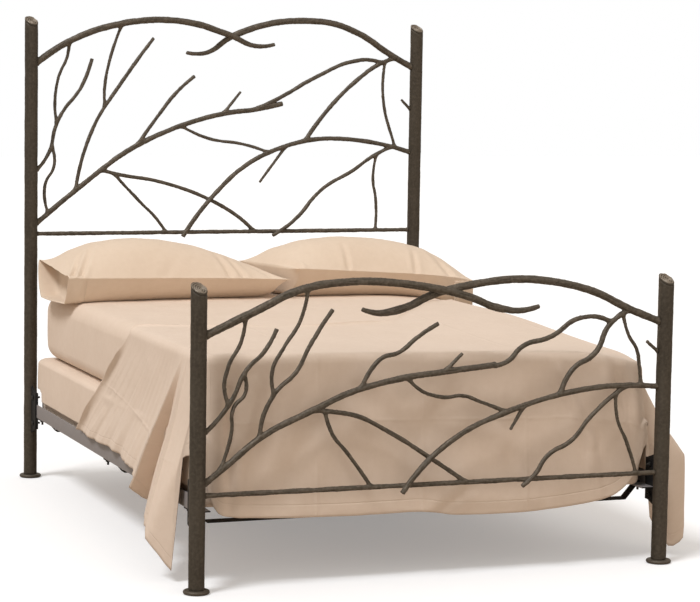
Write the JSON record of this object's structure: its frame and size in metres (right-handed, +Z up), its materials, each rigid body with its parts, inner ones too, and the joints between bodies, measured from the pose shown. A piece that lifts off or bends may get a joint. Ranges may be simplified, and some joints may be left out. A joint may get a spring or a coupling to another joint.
{
  "type": "bed",
  "caption": "Wrought iron bed with twig-shaped head and foot panels between round posts, angle side rails, and a foundation, mattress, draped sheet and pillows.",
  "frame": {"origin": "on the floor, at the centre of the bed's outline", "axes": "+Y towards the head panel, +X to the right seen from the foot, +Z up"},
  "size_m": [1.7942, 2.2428, 1.8037],
  "materials": {
    "iron": "satin",
    "rail_paint": "satin",
    "black_steel": "satin",
    "linen": "matte"
  },
  "bodies": {
    "frame": {"centre_leg": "black_steel", "cross_slats": "black_steel", "foot_arch_left": "iron", "foot_arch_right": "iron", "foot_low_bough": "iron", "foot_low_branch": "iron", "foot_lower_bar": "iron", "foot_main_bough": "iron", "foot_post_left": "iron", "foot_post_right": "iron", "foot_right_low_branch": "iron", "foot_right_upper_branch": "iron", "foot_stubs": "iron", "foot_twig_arch_drop": "iron", "foot_twig_bar_drop": "iron", "foot_twig_main_fork": "iron", "foot_twig_main_rise": "iron", "foot_twig_main_tip": "iron", "foot_twig_middle_link": "iron", "foot_twig_post_drop": "iron", "foot_twig_post_rise": "iron", "foot_twig_right_drop": "iron", "foot_twig_right_link": "iron", "foot_upper_bough": "iron", "frame_bolts": "black_steel", "frame_nuts": "black_steel", "head_arch_left": "iron", "head_arch_right": "iron", "head_low_bough": "iron", "head_low_branch": "iron", "head_lower_bar": "iron", "head_main_bough": "iron", "head_post_left": "iron", "head_post_right": "iron", "head_right_low_branch": "iron", "head_right_upper_branch": "iron", "head_stubs": "iron", "head_twig_arch_drop": "iron", "head_twig_bar_drop": "iron", "head_twig_main_fork": "iron", "head_twig_main_rise": "iron", "head_twig_main_tip": "iron", "head_twig_middle_link": "iron", "head_twig_post_drop": "iron", "head_twig_post_rise": "iron", "head_twig_right_drop": "iron", "head_twig_right_link": "iron", "head_upper_bough": "iron", "post_caps": "iron", "post_feet": "iron", "rail_brackets": "black_steel", "side_rail_left": "rail_paint", "side_rail_right": "rail_paint"},
    "base": {"foundation": "linen"},
    "mattress": {"mattress": "linen", "top_sheet": "linen"},
    "left_pillow": {"pillow_left": "linen"},
    "right_pillow": {"pillow_right": "linen"},
    "glide": {"centre_glide": "black_steel"}
  },
  "joints": [
    {"name": "base_lift", "type": "slide", "parent": "frame", "child": "base", "axis": [0, 0, 1], "range_m": [0, 0.1]},
    {"name": "mattress_lift", "type": "slide", "parent": "base", "child": "mattress", "axis": [0, 0, 1], "range_m": [0, 0.3]},
    {"name": "left_pillow_lift", "type": "slide", "parent": "mattress", "child": "left_pillow", "axis": [0, 0, 1], "range_m": [0, 0.25]},
    {"name": "right_pillow_lift", "type": "slide", "parent": "mattress", "child": "right_pillow", "axis": [0, 0, 1], "range_m": [0, 0.25]},
    {"name": "glide_screw", "type": "slide", "parent": "frame", "child": "glide", "axis": [0, 0, 1], "range_m": [0, 0.02]}
  ]
}
